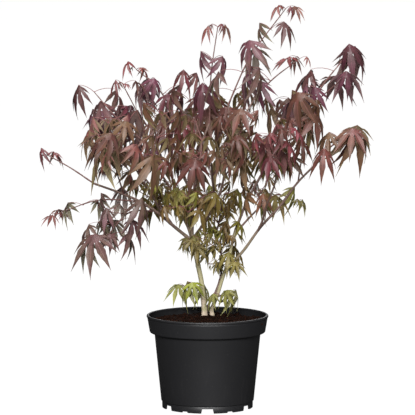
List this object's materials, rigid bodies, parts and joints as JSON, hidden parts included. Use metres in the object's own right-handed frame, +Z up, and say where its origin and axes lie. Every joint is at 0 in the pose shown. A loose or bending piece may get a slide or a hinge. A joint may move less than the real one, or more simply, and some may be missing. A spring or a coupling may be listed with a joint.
{
  "type": "potted palmate maple shrub",
  "caption": "Young purple-leaved palmate maple shrub with several slender stems, open crown of drooping lobed leaves, in a round nursery pot.",
  "frame": {"origin": "centre of the flat underside of the pot, on the surface it stands on", "axes": "+Z up, +X to the right and +Y away from the viewer in the front view; the crown is widest along X"},
  "size_m": [0.5392, 0.4453, 0.6518],
  "materials": {
    "pot_plastic": "satin charcoal moulded plastic, lightly scuffed",
    "potting_soil": "moist dark red-brown bark and peat compost",
    "bark": "smooth grey-green to buff young bark",
    "leaves_purple": "matt purple leaves",
    "leaves_red": "young coral red leaves",
    "leaves_bronze": "bronze to olive leaves",
    "leaves_green": "shaded green leaves",
    "leaves_lime": "bright young green leaves"
  },
  "bodies": {
    "root": {"bough_back": "bark", "bough_back_left": "bark", "bough_back_right": "bark", "bough_front": "bark", "bough_front_left": "bark", "bough_front_right": "bark", "bough_leader": "bark", "bough_left_low": "bark", "bough_left_mid": "bark", "bough_left_upper": "bark", "bough_middle": "bark", "bough_right_far": "bark", "bough_right_high": "bark", "bough_right_inner": "bark", "bough_right_low": "bark", "leaves_back": "leaves_purple", "leaves_back_high": "leaves_bronze", "leaves_back_left": "leaves_bronze", "leaves_back_left_high": "leaves_purple", "leaves_back_low": "leaves_green", "leaves_back_right": "leaves_purple", "leaves_core_high": "leaves_bronze", "leaves_core_left": "leaves_green", "leaves_core_low": "leaves_green", "leaves_core_mid": "leaves_green", "leaves_core_right": "leaves_green", "leaves_far_right": "leaves_purple", "leaves_foot_left": "leaves_lime", "leaves_foot_right": "leaves_lime", "leaves_front": "leaves_purple", "leaves_front_high": "leaves_purple", "leaves_front_left": "leaves_purple", "leaves_front_left_high": "leaves_bronze", "leaves_front_low": "leaves_green", "leaves_front_right": "leaves_bronze", "leaves_high_left": "leaves_purple", "leaves_high_mid": "leaves_red", "leaves_high_right": "leaves_purple", "leaves_inner_left": "leaves_green", "leaves_inner_low": "leaves_green", "leaves_inner_low_right": "leaves_green", "leaves_inner_mid": "leaves_bronze", "leaves_inner_right": "leaves_bronze", "leaves_low_left": "leaves_purple", "leaves_low_right": "leaves_green", "leaves_mid_left": "leaves_bronze", "leaves_mid_right": "leaves_bronze", "leaves_side_left": "leaves_red", "leaves_side_right": "leaves_purple", "leaves_tip_right": "leaves_purple", "leaves_top_left": "leaves_purple", "leaves_top_right": "leaves_purple", "leaves_under_left": "leaves_bronze", "leaves_upper_left": "leaves_purple", "leaves_upper_left_red": "leaves_red", "pot": "pot_plastic", "soil": "potting_soil", "stem_left": "bark", "stem_right": "bark", "stem_thin": "bark"}
  },
  "joints": []
}
